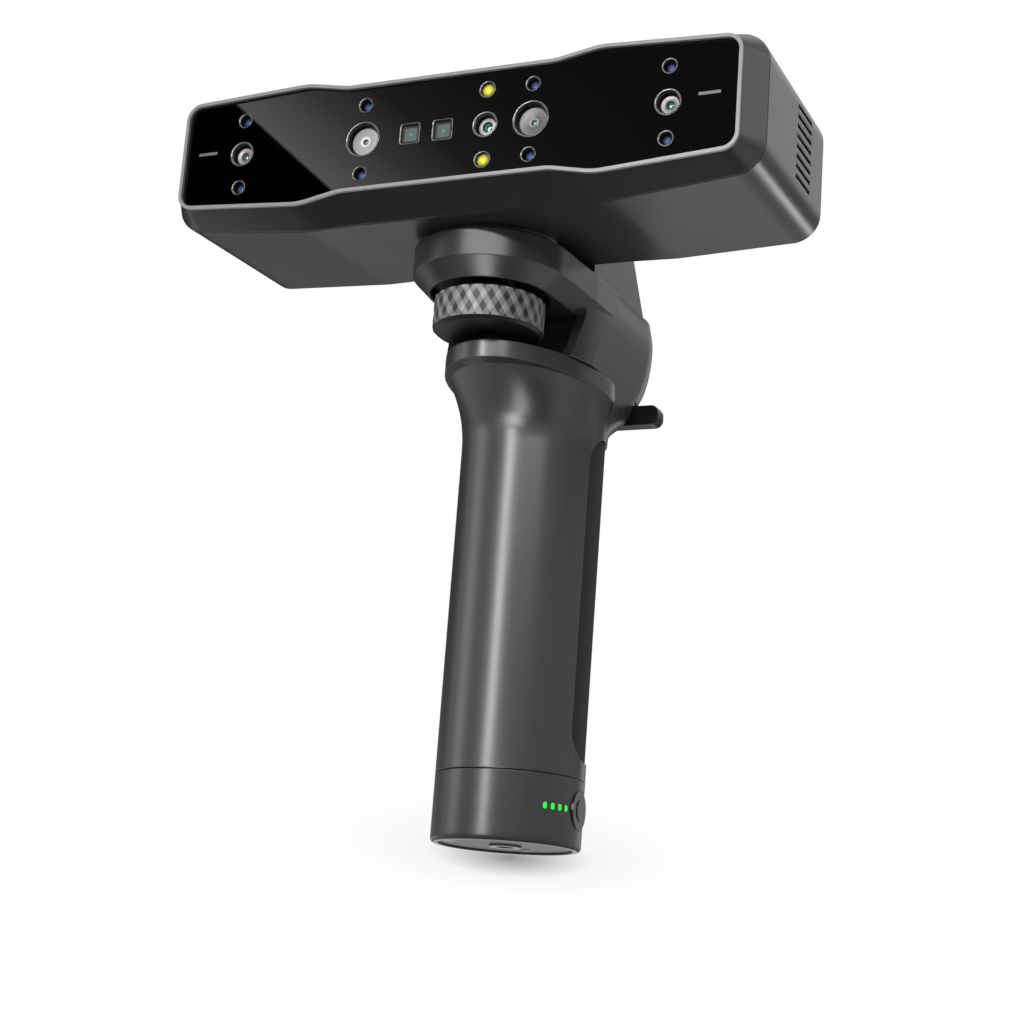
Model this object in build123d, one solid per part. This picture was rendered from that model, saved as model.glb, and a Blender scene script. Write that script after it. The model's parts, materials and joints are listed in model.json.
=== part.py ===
from build123d import *
import os
from math import cos, degrees, radians, sin, sqrt

# Handheld three-d scanner: an optical head clamped on a battery grip.
# Millimetres, +Z up, the lenses face -Y, and the origin is the centre of the grip's base.

# Clearances
seam_gap = 0.25            # shadow gap at the visible parting lines
seat_gap = 0.05            # glued, pressed or screwed pieces in their seats
running_gap = 0.08         # radial, pins and buttons that turn or slide
free_gap = 0.4             # around pieces that move without guidance
plate_pin_gap = 0.45       # radial, stud in the plate's hole

# Grip
grip_radius = 22.0
grip_wall = 2.2
cap_height = 20.0
grip_length = 121.0        # from the cap's seam to the top of the collar
edge_round = 1.2
neck_height = 23.0
neck_sections = 5
neck_flare = 2.3           # exponent of the neck's concave flare
collar_height = 5.2
collar_lip = 5.6           # reach in front of the clamp axis
collar_overhang = 1.6      # wider than the grip on each side
collar_ledge = 6.2         # overhang of the collar in front, fading to none at the sides
neck_wall = 8.0
neck_cavity_roof = 8.0

# Palm pad, wrapped around the back of the grip
pad_thickness = 1.2
pad_sink = 0.5             # below the grip's surface
pad_front_y = -5.6
pad_foot = 5.5             # above the cap's seam
pad_neck_overlap = 4.5     # reach above the foot of the neck
pad_round = 9.0

# End cap, base and charging
base_recess = 0.6
base_thickness = 3.0
ledge_height = 1.6
ledge_width = 5.8
tripod_radius = 2.55       # tapped for a quarter-inch tripod screw
tripod_depth = 9.0
tripod_body_radius = 4.8
tripod_flange_radius = 6.5
tripod_flange = 1.4
base_screw_count = 3
base_screw_first_angle = 30.0
base_screw_edge = 3.3      # from the bore's wall to a screw's axis
base_screw_radius = 1.0
base_screw_head_radius = 1.9
base_screw_head = 1.0
socket_width = 9.0
socket_height = 3.2
socket_depth = 7.0
socket_wall = 0.5

# Power button, placed around the grip from the front towards +X, and charge lights before it
button_azimuth = 95.0
button_z = 11.4
button_radius = 3.1
button_ring_radius = 5.8
button_ring_depth = 3.4
button_travel = 0.8
button_flange = 1.0
button_flange_radius = 4.2
button_proud = 0.3
button_play = 0.2          # between the button's flange and its ring
switch_play = 0.1
board_thickness = 1.6
power_board_setback = 8.5  # from the grip's surface to the board's outer face
power_board_half_width = 12.0
switch_half_size = 3.0
light_count = 4
light_reach = 8.4          # from the button's axis to the nearest light, along the surface
light_pitch = 2.53
light_radius = 0.9
light_length = 4.0
light_z = 11.0

# Battery
cell_count = 3
cell_first_angle = 90.0
cell_gap = 0.2             # between neighbouring cells
cell_wall_gap = 0.3
cell_rise = 14.0           # above the cap's seam
cell_headroom = 11.0       # below the roof of the grip's bore
holder_gap = 0.8           # to the wall of the grip's bore
holder_thickness = 6.0
holder_pocket = 3.0

# Clamp wheel, stud and the plate that it clamps
wheel_offset = 38.2        # clamp axis in front of the grip's axis
wheel_radius = 16.3
wheel_height = 10.8
wheel_room = 3.0           # free height below the wheel
wheel_chamfer = 1.4
wheel_recess_gap = 1.3
wheel_top_gap = 0.7
hub_radius = 8.0
recess_depth = 3.2         # of the wheel's recess in the plate's underside
washer_thickness = 0.8
stud_radius = 3.175
stud_engagement = 2.4
stud_point = 0.6           # chamfer
stud_anchor = 8.0          # length of the stud held in the wheel

# Top bracket: plate, column and the rounded spine behind
plate_height = 13.0
plate_chamfer = 4.8
nose_inset = 1.2           # the plate is this much narrower on each side at the clamp axis
nose_end_y = -16.0         # and full width from here
bracket_overhang = 0.8     # wider than the collar on each side
bracket_foot_inset = 0.4   # narrower than the grip on each side
bracket_back = 45.5
bracket_back_flat = 3.6    # half width of the flat between the rounded rear corners, at the foot
spine_levels = (0, 0.16, 0.295, 0.395, 0.48, 0.585, 0.705, 0.82, 0.905, 1)
spine_backs = (0.22, 0.43, 0.64, 0.77, 0.86, 0.945, 0.99, 1, 0.987, 0.923)
wall_top_y = -18.5
wall_foot_y = -24.0
cheek = 2.8                # side walls of the pocket behind the wheel
pocket_back_y = -14.5
knuckle_y = 4.0
knuckle_radius = 10.5
parting_exit_y = 60.0
parting_exit_drop = 13.0
cavity_wall = 3.6
cavity_front_y = -5.0
cavity_back_y = 12.0
cavity_height = 22.0
bracket_screw_edge = 8.9   # from the plate's side
bracket_screw_y = -10.5
bracket_screw_radius = 2.0
bracket_screw_head_radius = 3.6
bracket_screw_head = 3.0
bracket_screw_length = 40.0

# Seat of the head on the plate
seat_edge = 3.4            # from the plate's side
seat_hole_radius = 5.5
seat_thickness = 0.6
contact_width = 14.0
contact_depth = 5.0
contact_edge = 8.0         # from the seat pad's rear edge
contact_sink = 2.0
contact_rise = 1.6
contact_pin_count = 5
contact_pin_radius = 0.6
contact_pin_rise = 0.5

# Rear post behind the head
post_inset = 4.4           # narrower than the plate on each side
post_wall = 2.0
post_head_gap = 2.3        # free space behind the head
post_foot_y = 33.0
post_knee_y = 31.8
post_knee_z = 4.5
post_top_y = 20.5
post_height = 20.5
post_round = 4.0
radio_edge = 6.0           # from the post's side
radio_y = 5.0
radio_height = 16.0

# Thumb lever under the spine
lever_pivot_edge = 8.9     # inwards from the plate's side
lever_pivot_z = -4.1       # from the collar's top
lever_reach = 6.2          # of the tip beyond the plate's side
lever_tail = 7.1           # from the pivot inwards
lever_share = 0.5          # place of the lever as a share of the spine's reach
lever_width = 5.0
lever_height = 6.2
lever_round = 2.4
lever_pin_radius = 1.5
lever_pin_seat = 1.6       # length of pin held in each wall
lever_angle = 10.0
lever_switch_width = 6.0
lever_switch_height = 3.6

# Head: outlines of the rim, of the seam behind the front band and of the back
head_rise = 24.3           # centre of the head above its seat
head_front_to_stud = 37.6
band_depth = 9.0
head_depth = 64.0
head_half_width = 92.0
rim_inset = 4.7            # of the rim's ends from the widest section
back_inset = 0.7
head_wall = 2.2
back_round = 1.5
rim_shape = dict(half_width=head_half_width - rim_inset, knee_x=46.0, waist_x=32.7, corner=5.0, blend=20.0,
                 end_top=16.9, knee_top=18.9, waist_top=16.5,
                 end_bottom=16.4, knee_bottom=19.15, waist_bottom=16.5)
band_shape = dict(half_width=head_half_width, knee_x=47.0, waist_x=32.7, corner=9.0, blend=40.0,
                  end_top=20.8, knee_top=21.7, waist_top=20.9,
                  end_bottom=19.5, knee_bottom=23.9, waist_bottom=23.4)
back_shape = dict(half_width=head_half_width - back_inset, knee_x=48.0, waist_x=32.7, corner=8.0, blend=40.0,
                  end_top=19.3, knee_top=19.8, waist_top=19.4,
                  end_bottom=18.6, knee_bottom=20.4, waist_bottom=20.0)
trim_width = 1.0
trim_depth = 1.0
glass_setback = 1.2
glass_thickness = 1.2
glass_ledge = 2.3

# Optics, seen from the front and placed from the head's centre
optic_x = -0.5
optic_z = -0.4
outer_camera_edge = 25.2   # from the head's widest section
inner_camera_x = 26.4
texture_camera_x = 12.4
small_ring_radius = 3.9
large_ring_radius = 5.5
ring_wall = 0.7
ring_flare = 0.5           # widening of a ring's bore towards its mouth
ring_flare_depth = 0.9
ring_proud = 0.1
barrel_gap = 0.4           # dark gap between a camera's barrel and its ring
barrel_setback = 1.7
dish_depth = 0.8
dish_rim = 0.35
lens_round = 0.5           # of the pupil's radius
dome_round = 0.33          # of the light ring's radius
pupil_share = 0.34         # pupil radius as a share of the barrel's radius
light_offset = 10.6        # of the lights above and below the cameras
blue_ring_radius = 2.3
flash_ring_radius = 2.55
light_ring_wall = 0.5
light_ring_flare = 0.35
blue_setback = 1.3
flash_setback = 0.2
window_size = 6.5
window_frame = 0.55
window_setback = 0.8
window_left_x = -11.2
window_right_x = -0.9
window_thickness = 0.8
strip_edge = 16.5
strip_length = 6.3
strip_height = 0.9
strip_z = 0.9
light_board_y = 4.0        # behind the head's front
bench_thickness = 3.0
bench_gap = 0.2
board_edge_gap = 0.6
module_small = 11.0
module_large = 15.0
module_gap_small = 14.4    # from a camera's module back to the main board
module_gap_large = 10.4
laser_module_width = 20.0
laser_module_height = 14.0
laser_module_gap = 8.4

# Head electronics and cooling
main_board_setback = 29.0  # in front of the head's back
board_fan_gap = 9.8
main_board_half_height = 13.0
standoff_radius = 2.5
standoff_x = 46.0
standoff_z = 10.0
sink_half_width = 40.0
sink_half_height = 11.0
sink_base = 2.0
sink_fin_height = 9.0
sink_fin_count = 14
sink_fin_thickness = 1.2
fan_half_size = 10.0
fan_depth = 7.0
fan_bore_radius = 9.3
fan_wall_gap = 0.3
fan_hub_radius = 4.2
fan_blade_count = 7
fan_blade_thickness = 0.8
fan_blade_pitch = 38.0
fan_tip_gap = 0.4
fan_shaft_radius = 1.0
fan_spoke_width = 1.6
fan_spoke_depth = 1.4
vent_count = 8
vent_pitch = 3.0
vent_width = 1.4
vent_length = 13.7
vent_setback = 20.6        # in front of the head's back
vent_z = 1.2               # above the head's centre
foot_inset = 2.0           # smaller than the seat pad
foot_height = 9.0
bush_radius = 6.0
bush_length = 8.0
head_screw_edge = 14.0
head_screw_z = 11.0
head_screw_radius = 1.3
head_screw_head_radius = 2.5
head_screw_head = 1.8
head_post_radius = 2.4

# Levels, widths and places worked out from the sizes above
collar_top_z = cap_height + grip_length
collar_bottom_z = collar_top_z - collar_height
neck_start_z = collar_top_z - neck_height
wheel_y = -wheel_offset
wheel_bottom_z = collar_top_z + wheel_room
wheel_top_z = wheel_bottom_z + wheel_height
plate_bottom_z = wheel_top_z + wheel_top_gap
plate_top_z = plate_bottom_z + plate_height
recess_roof_z = plate_bottom_z + recess_depth
seat_z = plate_top_z + seat_thickness
head_z = seat_z + head_rise
front_y = wheel_y - head_front_to_stud
seam_y = front_y + band_depth
back_y = front_y + head_depth
glass_front_y = front_y + glass_setback
glass_back_y = glass_front_y + glass_thickness
board_front_y = front_y + light_board_y
board_back_y = board_front_y + board_thickness
bench_back_y = board_back_y + bench_thickness
opening_inset = trim_width + glass_ledge
main_board_y = back_y - main_board_setback
vent_y = back_y - vent_setback
lens_z = head_z + optic_z
outer_camera_x = head_half_width - outer_camera_edge
strip_inner_x = head_half_width - strip_edge
head_screw_x = head_half_width - head_screw_edge
stud_top_z = seat_z + stud_engagement
collar_front = wheel_offset + collar_lip
collar_half_width = grip_radius + collar_overhang
bracket_half_width = collar_half_width + bracket_overhang
bracket_foot_half_width = grip_radius - bracket_foot_inset
bracket_screw_x = bracket_half_width - bracket_screw_edge
bracket_back_round = bracket_foot_half_width - bracket_back_flat
cavity_half_width = bracket_foot_half_width - cavity_wall
seat_radius = bracket_half_width - seat_edge
contact_offset = seat_radius - contact_edge
foot_radius = seat_radius - foot_inset
post_front_y = back_y + post_head_gap
post_half_width = bracket_half_width - post_inset
radio_half_width = post_half_width - radio_edge
lever_front_y = bracket_back * lever_share
lever_pivot_x = bracket_half_width - lever_pivot_edge
lever_tip_x = bracket_half_width + lever_reach
lever_tail_x = lever_pivot_x - lever_tail
grip_bore_radius = grip_radius - grip_wall
bore_top_z = neck_start_z - neck_cavity_roof
neck_cavity_radius = grip_radius - neck_wall
ledge_radius = grip_bore_radius - ledge_width
base_screw_circle = grip_bore_radius - base_screw_edge
socket_y = (tripod_flange_radius + ledge_radius) / 2
holder_radius = grip_bore_radius - holder_gap

# The cells touch neither each other nor the bore.
cell_spread = sin(radians(180 / cell_count))
cell_radius = ((grip_bore_radius - cell_wall_gap) * cell_spread - cell_gap / 2) / (cell_spread + 1)
cell_circle = grip_bore_radius - cell_wall_gap - cell_radius

parts = {}


# Plain solids

def rod(radius, bottom, top, x=0, y=0):
    return Pos(x, y, (bottom + top) / 2) * Cylinder(radius, top - bottom)


def rod_y(radius, front, back, x, z):
    return Pos(x, (front + back) / 2, z) * Rot(90, 0, 0) * Cylinder(radius, back - front)


def rod_x(radius, left, right, y, z):
    return Pos((left + right) / 2, y, z) * Rot(0, 90, 0) * Cylinder(radius, right - left)


def block(x_span, y_span, z_span):
    size = [high - low for low, high in (x_span, y_span, z_span)]
    middle = [(high + low) / 2 for low, high in (x_span, y_span, z_span)]
    return Pos(*middle) * Box(*size)


def group(solids):
    return Compound(children=list(solids))


def side_prism(wire, half_width):
    face = Plane.YZ * make_face(wire)
    return extrude(face, amount=half_width, both=True)


def around(azimuth):
    return Rot(0, 0, azimuth - 90)


# Grip: shell, collar and neck

def neck_face(half_width, front, z):
    nose = EllipticalCenterArc((0, 0), half_width, front, 180, arc_size=180)
    rear = CenterArc((0, 0), half_width, 0, 180)
    return Pos(0, 0, z) * make_face([nose, rear])


def neck_form():
    sections = []
    for step in range(neck_sections + 1):
        share = step / neck_sections
        flare = share ** neck_flare
        half_width = grip_radius + (collar_half_width - grip_radius) * flare
        front = grip_radius + (collar_front - collar_ledge - grip_radius) * flare
        sections.append(neck_face(half_width, front, neck_start_z + share * (collar_bottom_z - neck_start_z)))
    collar = extrude(neck_face(collar_half_width, collar_front, collar_bottom_z), amount=collar_height)
    return loft(sections) + collar


def bracket_plan(half_width, back, back_round, inset, z):
    width = half_width - inset
    rear = back - inset
    turn = back_round - inset
    lean = turn * (1 - sqrt(0.5))
    nose = width - nose_inset
    edges = [
        Line((nose, wheel_y), (width, nose_end_y)),
        Line((width, nose_end_y), (width, rear - turn)),
        ThreePointArc((width, rear - turn), (width - lean, rear - lean), (width - turn, rear)),
        Line((width - turn, rear), (turn - width, rear)),
        ThreePointArc((turn - width, rear), (lean - width, rear - lean), (-width, rear - turn)),
        Line((-width, rear - turn), (-width, nose_end_y)),
        Line((-width, nose_end_y), (-nose, wheel_y)),
        ThreePointArc((-nose, wheel_y), (0, wheel_y - nose), (nose, wheel_y)),
    ]
    return Pos(0, 0, z) * make_face(edges)


def bracket_form():
    top = bracket_plan(bracket_half_width, bracket_back, bracket_back_round, 0, plate_top_z)
    waist = bracket_plan(bracket_half_width, bracket_back, bracket_back_round, 0, plate_bottom_z + plate_chamfer)
    under = bracket_plan(bracket_half_width, bracket_back, bracket_back_round, plate_chamfer, plate_bottom_z)
    plate = loft([under, waist], ruled=True) + loft([waist, top], ruled=True)
    plate &= block((-bracket_back, bracket_back), (-2 * bracket_back, 0), (plate_bottom_z, plate_top_z))
    column = spine_form() & side_prism(column_wire(), bracket_back) & column_reach()
    return plate + column


def spine_form():
    # The spine is lofted through plans at set shares of its height, each with its own reach to the back.
    height = plate_top_z - neck_start_z
    full_width_share = (plate_bottom_z + plate_chamfer - neck_start_z) / height
    plans = []
    for level, reach in zip(spine_levels, spine_backs):
        widening = min(level / full_width_share, 1) * (bracket_half_width - bracket_foot_half_width)
        plans.append(bracket_plan(bracket_foot_half_width + widening, bracket_back * reach, bracket_back_round,
                                  0, neck_start_z + level * height))
    return loft(plans)


def column_reach():
    # In front of the grip's axis the column keeps within the collar's curve.
    curve = extrude(neck_face(bracket_half_width, collar_front, collar_top_z), amount=plate_top_z - collar_top_z)
    return curve + block((-bracket_back, bracket_back), (0, bracket_back), (neck_start_z, plate_top_z))


def wheel_pocket():
    curve = neck_face(bracket_half_width - cheek, collar_front - cheek, collar_top_z)
    space = extrude(curve, amount=plate_bottom_z - collar_top_z)
    return space & block((-bracket_back, bracket_back), (-2 * collar_front, pocket_back_y),
                         (collar_top_z, plate_bottom_z))


def column_wire():
    low = neck_start_z
    return Polyline((0, low), (0, collar_top_z), (wall_foot_y, collar_top_z), (wall_top_y, plate_bottom_z),
                    (wall_top_y, plate_top_z), (bracket_back, plate_top_z), (bracket_back, low), close=True)


def parting_wire(gap):
    # The outline of the space below and in front of the parting line, grown by half the seam's gap.
    top = collar_top_z + gap
    radius = knuckle_radius + gap
    middle_z = collar_top_z - knuckle_radius
    diagonal = sqrt(0.5) * radius
    far_front = -collar_front - bracket_back
    low = neck_start_z - neck_height
    exit_z = collar_top_z - knuckle_radius - parting_exit_drop + gap
    return [Line((far_front, low), (far_front, top)), Line((far_front, top), (knuckle_y, top)),
            ThreePointArc((knuckle_y, top), (knuckle_y + diagonal, middle_z + diagonal),
                          (knuckle_y + radius, middle_z)),
            Line((knuckle_y + radius, middle_z), (parting_exit_y, exit_z)),
            Line((parting_exit_y, exit_z), (parting_exit_y, low)),
            Line((parting_exit_y, low), (far_front, low))]


def palm_pad_form(gap, outer_radius):
    low = cap_height + pad_foot - gap
    high = neck_start_z + pad_neck_overlap + gap
    back = outer_radius + pad_round
    wire = FilletPolyline((pad_front_y - gap, low), (back, low), (back, high), (pad_front_y - gap, high),
                          radius=[pad_round, 0, 0, pad_round], close=True)
    sleeve = rod(outer_radius, low, high) - rod(grip_radius - pad_thickness - gap, low, high)
    return sleeve & side_prism(wire, outer_radius)


def make_grip():
    below = side_prism(parting_wire(0), bracket_back)
    neck = (neck_form() + bracket_form()) & below
    barrel = rod(grip_radius, cap_height + seam_gap, neck_start_z)
    shell = barrel + neck
    shell -= rod(grip_bore_radius, cap_height, bore_top_z)
    shell -= rod(neck_cavity_radius, bore_top_z, collar_bottom_z)
    shell -= palm_pad_form(seam_gap, collar_half_width)
    for side in (-1, 1):
        x = side * bracket_screw_x
        shank_foot = plate_top_z - bracket_screw_head - bracket_screw_length
        shell -= rod(bracket_screw_radius + seat_gap, shank_foot, collar_top_z, x, bracket_screw_y)
    parts["grip_shell"] = shell
    parts["palm_pad"] = palm_pad_form(0, grip_radius - pad_sink)


# Battery in the grip

def cell_places():
    for index in range(cell_count):
        angle = radians(cell_first_angle + 360 / cell_count * index)
        yield cell_circle * cos(angle), cell_circle * sin(angle)


def cell_holder(bottom, floor_bottom):
    holder = rod(holder_radius, bottom, bottom + holder_thickness)
    for x, y in cell_places():
        holder -= rod(cell_radius + seat_gap, floor_bottom, floor_bottom + holder_pocket, x, y)
    return holder


def make_battery():
    cell_start_z = cap_height + cell_rise
    top = bore_top_z - cell_headroom
    lower = cell_start_z + holder_pocket - holder_thickness
    parts["battery_cells"] = group(rod(cell_radius, cell_start_z, top, x, y) for x, y in cell_places())
    parts["cell_holders"] = group([cell_holder(lower, cell_start_z),
                                   cell_holder(top - holder_pocket, top - holder_pocket)])


# End cap, base plate, charging socket, lights and power button

def make_end_cap():
    plate_top = base_recess + base_thickness
    ledge_top = plate_top + ledge_height
    cap = rod(grip_radius, 0, cap_height)
    cap = fillet(cap.edges().group_by(Axis.Z)[0], edge_round)
    cap -= rod(grip_bore_radius, 0, plate_top)
    cap -= rod(ledge_radius, plate_top, ledge_top)
    cap -= rod(grip_bore_radius, ledge_top, cap_height)
    cap -= around(button_azimuth) * rod_x(button_ring_radius + seat_gap, 0, 2 * grip_radius, 0, button_z)
    for azimuth in light_azimuths():
        cap -= around(azimuth) * rod_x(light_radius + seat_gap, 0, 2 * grip_radius, 0, light_z)
    for x, y in base_screw_places():
        cap -= rod(base_screw_radius + seat_gap, plate_top, ledge_top, x, y)
    parts["end_cap"] = cap

    plate = rod(grip_bore_radius - seat_gap, base_recess, plate_top)
    plate -= rod(tripod_body_radius + seat_gap, base_recess, plate_top)
    plate -= socket_solid(seat_gap)
    for x, y in base_screw_places():
        plate -= rod(base_screw_radius + seat_gap, base_recess, plate_top, x, y)
        plate -= rod(base_screw_head_radius + seat_gap, base_recess, base_recess + base_screw_head, x, y)
    parts["base_plate"] = plate

    bush = rod(tripod_body_radius, 0, tripod_depth)
    bush += rod(tripod_flange_radius, plate_top, plate_top + tripod_flange)
    parts["tripod_bush"] = bush - rod(tripod_radius, 0, tripod_depth)

    screws = []
    for x, y in base_screw_places():
        head_top = base_recess + base_screw_head
        screws.append(rod(base_screw_head_radius, base_recess, head_top, x, y)
                      + rod(base_screw_radius, head_top, ledge_top, x, y))
    parts["base_screws"] = group(screws)
    mouth = block((socket_wall - socket_width / 2, socket_width / 2 - socket_wall),
                  (socket_y + socket_wall - socket_height / 2, socket_y + socket_height / 2 - socket_wall),
                  (base_recess, base_recess + socket_depth - socket_wall))
    parts["charge_socket"] = socket_solid(0) - mouth


def socket_solid(gap):
    return block((-socket_width / 2 - gap, socket_width / 2 + gap),
                 (socket_y - socket_height / 2 - gap, socket_y + socket_height / 2 + gap),
                 (base_recess, base_recess + socket_depth))


def base_screw_places():
    for index in range(base_screw_count):
        angle = radians(base_screw_first_angle + 360 / base_screw_count * index)
        yield base_screw_circle * cos(angle), -base_screw_circle * sin(angle)


def light_azimuths():
    return [button_azimuth - degrees((light_reach + light_pitch * index) / grip_radius)
            for index in range(light_count)]


def make_power_controls():
    ledge_top = base_recess + base_thickness + ledge_height
    turn = around(button_azimuth)
    ring_in = grip_radius - button_ring_depth
    flange_in = ring_in - button_flange
    ring = rod_x(button_ring_radius, ring_in, grip_radius, 0, button_z)
    ring -= rod_x(button_radius + running_gap, ring_in, grip_radius, 0, button_z)
    parts["button_ring"] = turn * ring

    button = rod_x(button_radius, ring_in, grip_radius + button_proud, 0, button_z)
    button = fillet(button.edges().group_by(Axis.X)[-1], button_proud)
    button += rod_x(button_flange_radius, flange_in, ring_in - button_play, 0, button_z)
    button += rod_x(button_radius, flange_in, ring_in, 0, button_z)
    parts["power_button"] = turn * button

    board_out = grip_radius - power_board_setback
    board_top = cap_height
    board = block((board_out - board_thickness, board_out),
                  (-power_board_half_width, power_board_half_width), (ledge_top, board_top))
    parts["power_board"] = turn * board
    switch_out = flange_in - button_travel - switch_play
    switch = block((board_out, switch_out), (-switch_half_size, switch_half_size),
                   (button_z - switch_half_size, button_z + switch_half_size))
    parts["button_switch"] = turn * switch
    parts["charge_lights"] = group(
        around(azimuth) * rod_x(light_radius, grip_radius - light_length, grip_radius, 0, light_z)
        for azimuth in light_azimuths())


# Clamp wheel with its stud and washer

def make_clamp():
    washer_bottom = recess_roof_z - washer_thickness
    wheel = rod(wheel_radius, wheel_bottom_z, wheel_top_z, 0, wheel_y)
    wheel = chamfer(wheel.edges().filter_by(GeomType.CIRCLE), wheel_chamfer)
    wheel += rod(hub_radius, wheel_top_z, washer_bottom, 0, wheel_y)
    anchor_z = washer_bottom - stud_anchor
    parts["thumb_wheel"] = wheel - rod(stud_radius + seat_gap, anchor_z, washer_bottom, 0, wheel_y)
    stud = rod(stud_radius, anchor_z, stud_top_z, 0, wheel_y)
    parts["clamp_stud"] = chamfer(stud.edges().group_by(Axis.Z)[-1], stud_point)
    parts["thrust_washer"] = (rod(hub_radius, washer_bottom, recess_roof_z, 0, wheel_y)
                              - rod(stud_radius + plate_pin_gap, washer_bottom, recess_roof_z, 0, wheel_y))


# Top bracket, its screws, the seat pad and the contacts

def contact_span(gap):
    middle = wheel_y + contact_offset
    return ((-contact_width / 2 - gap, contact_width / 2 + gap),
            (middle - contact_depth / 2 - gap, middle + contact_depth / 2 + gap))


def make_bracket():
    bracket = bracket_form() + (neck_form() & bracket_reach())
    bracket -= side_prism(parting_wire(seam_gap), 2 * bracket_back)
    bracket -= rod(wheel_radius + wheel_recess_gap, collar_top_z, recess_roof_z, 0, wheel_y)
    bracket -= rod(stud_radius + plate_pin_gap, recess_roof_z, plate_top_z, 0, wheel_y)
    bracket -= wheel_pocket()
    bracket -= block((-cavity_half_width, cavity_half_width), (cavity_front_y, cavity_back_y),
                     (collar_top_z - collar_height, collar_top_z + cavity_height))
    bracket -= block(*contact_span(seat_gap), (plate_top_z - contact_sink, plate_top_z))
    bracket -= lever_room()
    pin_front, pin_back = lever_pin_span()
    bracket -= rod_y(lever_pin_radius + seat_gap, pin_front, pin_back, lever_pivot_x, lever_level())
    screws = []
    head_bottom = plate_top_z - bracket_screw_head
    for side in (-1, 1):
        x = side * bracket_screw_x
        bracket -= rod(bracket_screw_head_radius + seat_gap, head_bottom, plate_top_z, x, bracket_screw_y)
        bracket -= rod(bracket_screw_radius + seat_gap, collar_top_z, head_bottom, x, bracket_screw_y)
        screws.append(rod(bracket_screw_head_radius, head_bottom, plate_top_z - seat_gap, x, bracket_screw_y)
                      + rod(bracket_screw_radius, head_bottom - bracket_screw_length, head_bottom,
                            x, bracket_screw_y))
    parts["top_bracket"] = bracket
    parts["bracket_screws"] = group(screws)

    pad = rod(seat_radius, plate_top_z, seat_z, 0, wheel_y)
    pad -= rod(seat_hole_radius, plate_top_z, seat_z, 0, wheel_y)
    parts["seat_pad"] = pad - block(*contact_span(free_gap), (plate_top_z, seat_z))

    block_top = plate_top_z + contact_rise
    contacts = block(*contact_span(0), (plate_top_z - contact_sink, block_top))
    pitch = contact_width / (contact_pin_count + 1)
    for index in range(contact_pin_count):
        x = pitch * (index + 1) - contact_width / 2
        contacts += rod(contact_pin_radius, block_top, block_top + contact_pin_rise, x, wheel_y + contact_offset)
    parts["contact_block"] = contacts


def bracket_reach():
    return block((-bracket_back, bracket_back), (0, 2 * bracket_back),
                 (neck_start_z, collar_top_z))


# Rear post behind the head, with the radio board inside

def post_wire(inset):
    foot = plate_top_z
    front = post_front_y + inset
    top = plate_top_z + post_height - inset
    return FilletPolyline((front, foot), (post_foot_y - inset, foot), (post_knee_y - inset, foot + post_knee_z),
                          (post_top_y - inset, top), (front, top),
                          radius=[0, 0, post_round, post_round - inset / 2, post_round - inset], close=True)


def make_rear_post():
    post = side_prism(post_wire(0), post_half_width)
    parts["rear_post"] = post - side_prism(post_wire(post_wall), post_half_width - post_wall)
    parts["radio_board"] = block((-radio_half_width, radio_half_width), (radio_y, radio_y + board_thickness),
                                 (plate_top_z, plate_top_z + radio_height))


# Thumb lever with its pin and switch

def lever_level():
    return collar_top_z + lever_pivot_z


def lever_pin_span():
    return (lever_front_y - free_gap - lever_pin_seat, lever_front_y + lever_width + free_gap + lever_pin_seat)


def lever_room():
    top = lever_level() + lever_height / 2 + lever_switch_gap()
    room = block((lever_tail_x - free_gap, 2 * lever_tip_x),
                 (lever_front_y - free_gap, lever_front_y + lever_width + free_gap),
                 (neck_start_z, top))
    return room + lever_switch_solid(seat_gap)


def lever_switch_gap():
    return (lever_pivot_x - lever_tail_x) * sin(radians(lever_angle)) + free_gap


def lever_switch_solid(gap):
    bottom = lever_level() + lever_height / 2 + lever_switch_gap()
    return block((lever_tail_x - gap, lever_tail_x + lever_switch_width + gap),
                 (lever_front_y - gap, lever_front_y + lever_width + gap),
                 (bottom, bottom + lever_switch_height))


def make_lever():
    level = lever_level()
    low = level - lever_height / 2
    high = level + lever_height / 2
    plane = Plane(origin=(0, lever_front_y + lever_width, 0), x_dir=(1, 0, 0), z_dir=(0, -1, 0))
    wire = FilletPolyline((lever_tail_x, low), (lever_tip_x, low), (lever_tip_x, high), (lever_tail_x, high),
                          radius=lever_round, close=True)
    lever = extrude(plane * make_face(wire), amount=lever_width)
    lever -= rod_y(lever_pin_radius + running_gap, lever_front_y, lever_front_y + lever_width,
                   lever_pivot_x, level)
    parts["thumb_lever"] = lever
    parts["lever_pin"] = rod_y(lever_pin_radius, *lever_pin_span(), lever_pivot_x, level)
    parts["lever_switch"] = lever_switch_solid(0)


# Head: casing

def head_face(shape, inset, y):
    width = shape["half_width"] - inset
    upper = [(width, shape["end_top"] - inset), (shape["knee_x"], shape["knee_top"] - inset),
             (shape["waist_x"], shape["waist_top"] - inset)]
    lower = [(shape["waist_x"], inset - shape["waist_bottom"]), (shape["knee_x"], inset - shape["knee_bottom"]),
             (width, inset - shape["end_bottom"])]
    right = lower + upper
    points = right + [(-x, z) for x, z in reversed(right)]
    corner = max(shape["corner"] - inset, edge_round)
    radii = [shape["blend"], shape["blend"], corner, corner, shape["blend"], shape["blend"]] * 2
    plane = Plane(origin=(0, y, head_z), x_dir=(1, 0, 0), z_dir=(0, -1, 0))
    return plane * make_face(FilletPolyline(*points, radius=radii, close=True))


def head_prism(shape, inset, front, back):
    return extrude(head_face(shape, inset, back), amount=back - front)


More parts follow.
